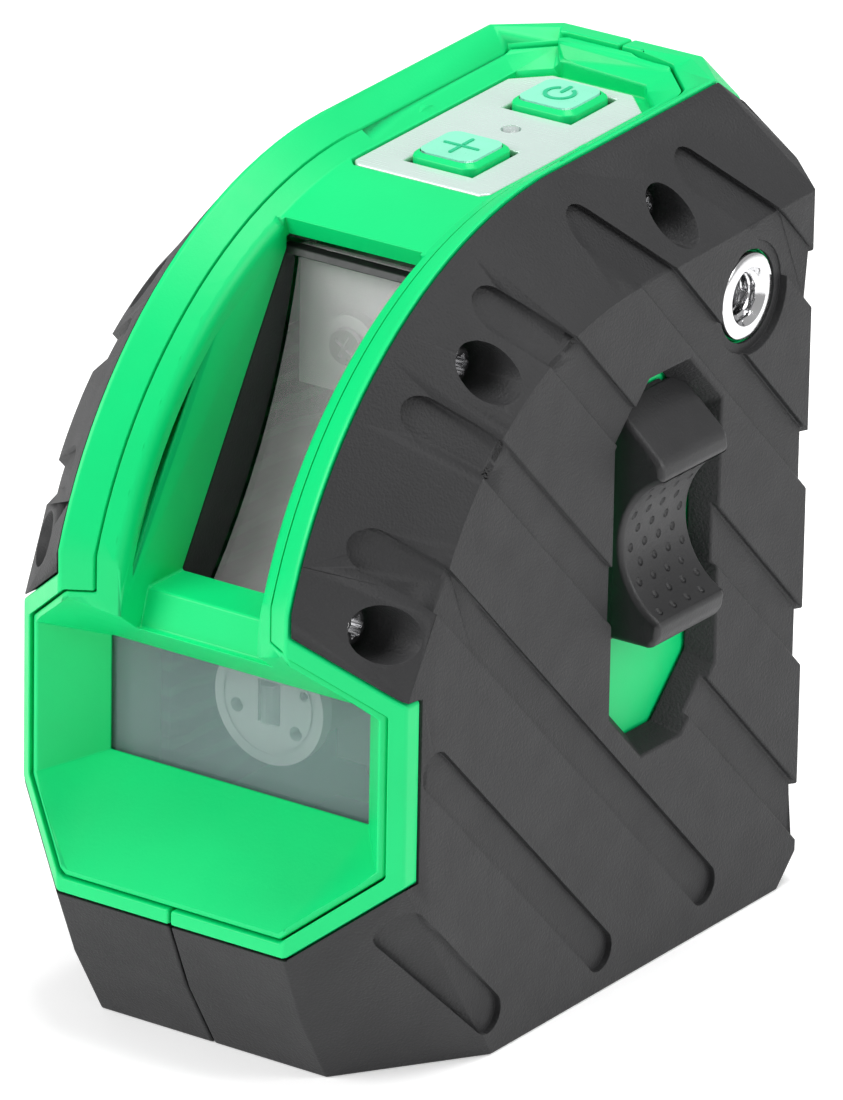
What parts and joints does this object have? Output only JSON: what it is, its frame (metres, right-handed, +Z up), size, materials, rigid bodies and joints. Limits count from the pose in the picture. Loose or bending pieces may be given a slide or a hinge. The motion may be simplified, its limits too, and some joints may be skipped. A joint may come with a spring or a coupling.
{
  "type": "self-levelling laser level",
  "caption": "Compact self-levelling cross-line laser level in rubber-clad half shells, with a gimballed pendulum, side lock knob, keypad and tripod threads.",
  "frame": {"origin": "middle of the footprint of the whole object, knob included, on the base", "axes": "+X to the right across the body, seen from the front the lock knob is on +X; +Y from the front windows to the battery door; +Z up"},
  "size_m": [0.0676, 0.1046, 0.115],
  "materials": {
    "green_plastic": "smooth satin green plastic",
    "black_rubber": "fine grained black soft-touch rubber",
    "black_plastic": "textured black plastic",
    "brake_rubber": "black rubber",
    "window_glass": "clear tinted window",
    "keypad_plate": "silver-white gloss",
    "button_cap": "translucent pale green",
    "chrome": "bright chrome",
    "steel": "plain steel",
    "grey_casting": "cast aluminium",
    "pendulum_casting": "dense zinc-like casting",
    "module_barrel": "turned aluminium",
    "brass": "turned brass",
    "copper": "bare copper",
    "magnet": "plated magnet",
    "board": "green circuit board",
    "cell_sleeve": "plain dark cell sleeve"
  },
  "bodies": {
    "housing": {"shell_left": "green_plastic", "shell_right": "green_plastic", "front_fascia": "green_plastic", "overmould_left": "black_rubber", "overmould_right": "black_rubber", "upper_window_frame": "black_plastic", "battery_tray": "black_plastic", "magnet_holder": "black_plastic", "lower_window": "window_glass", "upper_window": "window_glass", "status_lens": "window_glass", "keypad_plate": "keypad_plate", "side_thread_bush": "chrome", "base_thread_bush": "chrome", "case_screw_left_lower": "chrome", "case_screw_left_middle": "chrome", "case_screw_left_upper": "chrome", "case_screw_right_lower": "chrome", "case_screw_right_middle": "chrome", "case_screw_right_upper": "chrome", "bracket_screw": "steel", "roll_pin_front": "steel", "roll_pin_rear": "steel", "door_hinge_pin": "steel", "contact_strip_low": "steel", "contact_strip_high": "steel", "suspension_frame": "grey_casting", "damping_magnet": "magnet", "keypad_board": "board", "driver_board": "board", "cell_left": "cell_sleeve", "cell_middle": "cell_sleeve", "cell_right": "cell_sleeve"},
    "lock": {"lock_knob": "black_plastic", "lock_carriage": "black_plastic", "lock_carriage_screw": "steel"},
    "brake": {"lock_plunger": "steel", "brake_shoe": "brake_rubber"},
    "power_key": {"power_button": "button_cap"},
    "mode_key": {"mode_button": "button_cap"},
    "gimbal": {"gimbal_ring": "brass"},
    "pendulum": {"pendulum_frame": "pendulum_casting", "horizontal_module": "module_barrel", "horizontal_face_plate": "module_barrel", "horizontal_line_lens": "window_glass", "vertical_module": "module_barrel", "vertical_line_lens": "window_glass", "balance_screw": "brass", "damping_plate": "copper", "pitch_pin_left": "steel", "pitch_pin_right": "steel"},
    "rear_door": {"battery_door": "black_rubber"}
  },
  "joints": [
    {"name": "lock_slide", "type": "slide", "parent": "housing", "child": "lock", "axis": [0, 0, -1], "range_m": [0, 0.009]},
    {"name": "brake_slide", "type": "slide", "parent": "housing", "child": "brake", "axis": [-1, 0, 0], "range_m": [0, 0.003]},
    {"name": "power_press", "type": "slide", "parent": "housing", "child": "power_key", "axis": [0, 0.0416, -0.9991], "range_m": [0, 0.0008], "stiffness_N_per_m": 1500},
    {"name": "mode_press", "type": "slide", "parent": "housing", "child": "mode_key", "axis": [0, 0.0416, -0.9991], "range_m": [0, 0.0008], "stiffness_N_per_m": 1500},
    {"name": "gimbal_roll", "type": "hinge", "parent": "housing", "child": "gimbal", "pos_m": [-0.00225, 0.00765, 0.0885], "axis": [0, 1, 0], "range_deg": [-4, 4]},
    {"name": "pendulum_pitch", "type": "hinge", "parent": "gimbal", "child": "pendulum", "pos_m": [-0.00225, 0.00765, 0.0885], "axis": [1, 0, 0], "range_deg": [-4, 4]},
    {"name": "door_hinge", "type": "hinge", "parent": "housing", "child": "rear_door", "pos_m": [-0.00225, 0.05045, 0.0072], "axis": [-1, 0, 0], "range_deg": [0, 95]}
  ],
  "couplings": [
    {"joint": "brake_slide", "follows": "lock_slide", "ratio": 0.33333}
  ]
}
